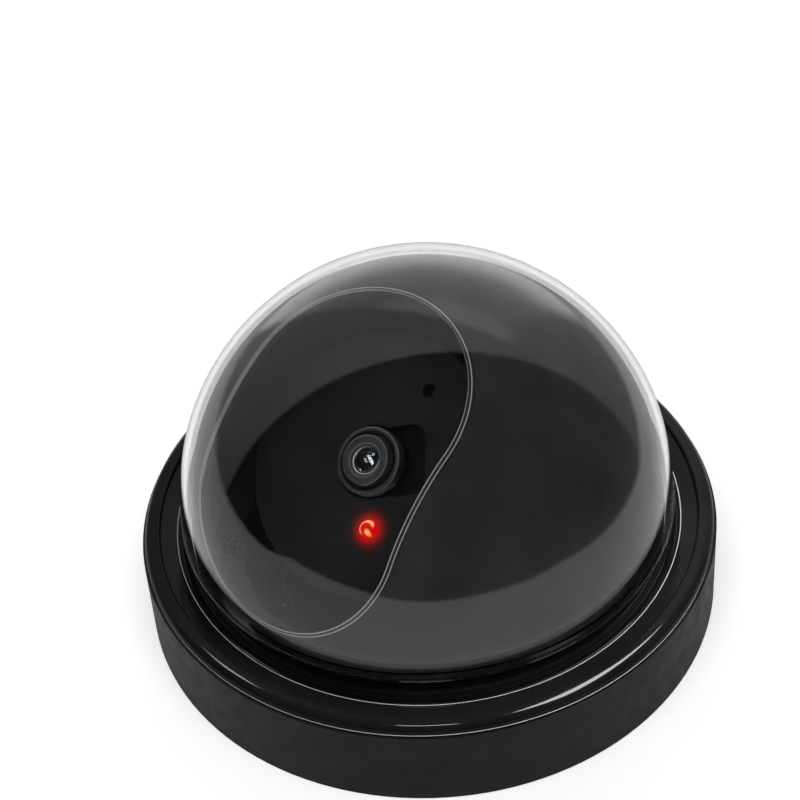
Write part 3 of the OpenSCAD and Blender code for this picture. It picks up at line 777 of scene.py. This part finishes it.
def add_room():
    """Bright backdrop with a panel behind the object, and a dark room on the camera's side."""
    world = bpy.data.worlds.new("room")
    world.use_nodes = True
    bpy.context.scene.world = world
    tree = world.node_tree
    tree.nodes.clear()
    heading = tree.nodes.new("ShaderNodeTexCoord").outputs["Generated"]

    def math_node(operation, *values):
        """One arithmetic step."""
        return join(tree, operation, *values)

    def step(value, start, end):
        """0 at start, 1 at end, smooth between them."""
        made = tree.nodes.new("ShaderNodeMapRange")
        made.interpolation_type = "SMOOTHSTEP"
        tree.links.new(value, made.inputs[0])
        made.inputs[1].default_value, made.inputs[2].default_value = start, end
        return made.outputs[0]

    def along(direction):
        """Cosine between the heading and a direction."""
        made = tree.nodes.new("ShaderNodeVectorMath")
        made.operation = "DOT_PRODUCT"
        tree.links.new(heading, made.inputs[0])
        made.inputs[1].default_value = direction
        return made.outputs["Value"]

    ahead, aside, height = along(TO_CAMERA), along(TO_RIGHT), along(UPWARD)
    edge = math_node("MULTIPLY_ADD", aside, 0.1, ahead)
    backdrop = math_node("SUBTRACT", 1.0, step(edge, -0.315, -0.30))
    wall = math_node("MULTIPLY_ADD", height, WALL_RISE, WALL_LIGHT)
    wall = math_node("MAXIMUM", wall, WALL_FLOOR)
    gain = math_node("SUBTRACT", wall, ROOM_LIGHT)
    light = math_node("MULTIPLY_ADD", backdrop, gain, ROOM_LIGHT)

    slant = math_node("MULTIPLY_ADD", aside, -0.36, ahead)
    panel = math_node("MULTIPLY", step(math_node("ABSOLUTE", aside), 0.62, 0.5),
                      step(slant, -0.65, -0.71))
    strip = math_node("MULTIPLY", step(height, 0.55, 0.7), PANEL_STRIP)
    horizon = math_node("MULTIPLY", step(height, 0.3, 0.0), PANEL_HORIZON)
    bright = math_node("ADD", math_node("ADD", strip, horizon), PANEL_LIGHT)
    light = math_node("MULTIPLY_ADD", panel, math_node("SUBTRACT", bright, wall), light)

    rim = math_node("MULTIPLY", rim_view(tree), RIM_LIFT)
    light = math_node("MULTIPLY_ADD", step(along(-VIEW_BACK), 0.75, 0.9), rim, light)
    light = math_node("MAXIMUM", light, straight_view(tree))
    background = tree.nodes.new("ShaderNodeBackground")
    background.inputs["Color"].default_value = (1, 1, 1, 1)
    tree.links.new(light, background.inputs["Strength"])
    output = tree.nodes.new("ShaderNodeOutputWorld")
    tree.links.new(background.outputs[0], output.inputs["Surface"])


add_camera()
add_room()
add_floor()
add_area("overhead", KEY_PLACE, (0, 0, 0), (1.0, 1.0), KEY_ENERGY, glossy=False)
ring_only = [frame["nodes"]["trim_ring"]]
for name, direction, size, energy in RING_STREAKS:
    place = toward(direction) * STREAK_DISTANCE
    add_area(name, place, (0, 0, RING_LOW), size, energy, receivers=ring_only)
lens_tip = DOME_CENTRE + LENS_AXIS * LENS_TIP_DEPTH
lens_parts = [frame["nodes"][node] for node in ("front_lens", "rear_lens")]
for name, direction, size, energy in LENS_GLINTS:
    place = lens_tip + toward(direction).normalized() * GLINT_DISTANCE
    add_area(name, place, lens_tip, size, energy, receivers=lens_parts)
bpy.context.scene.view_settings.view_transform = "Standard"
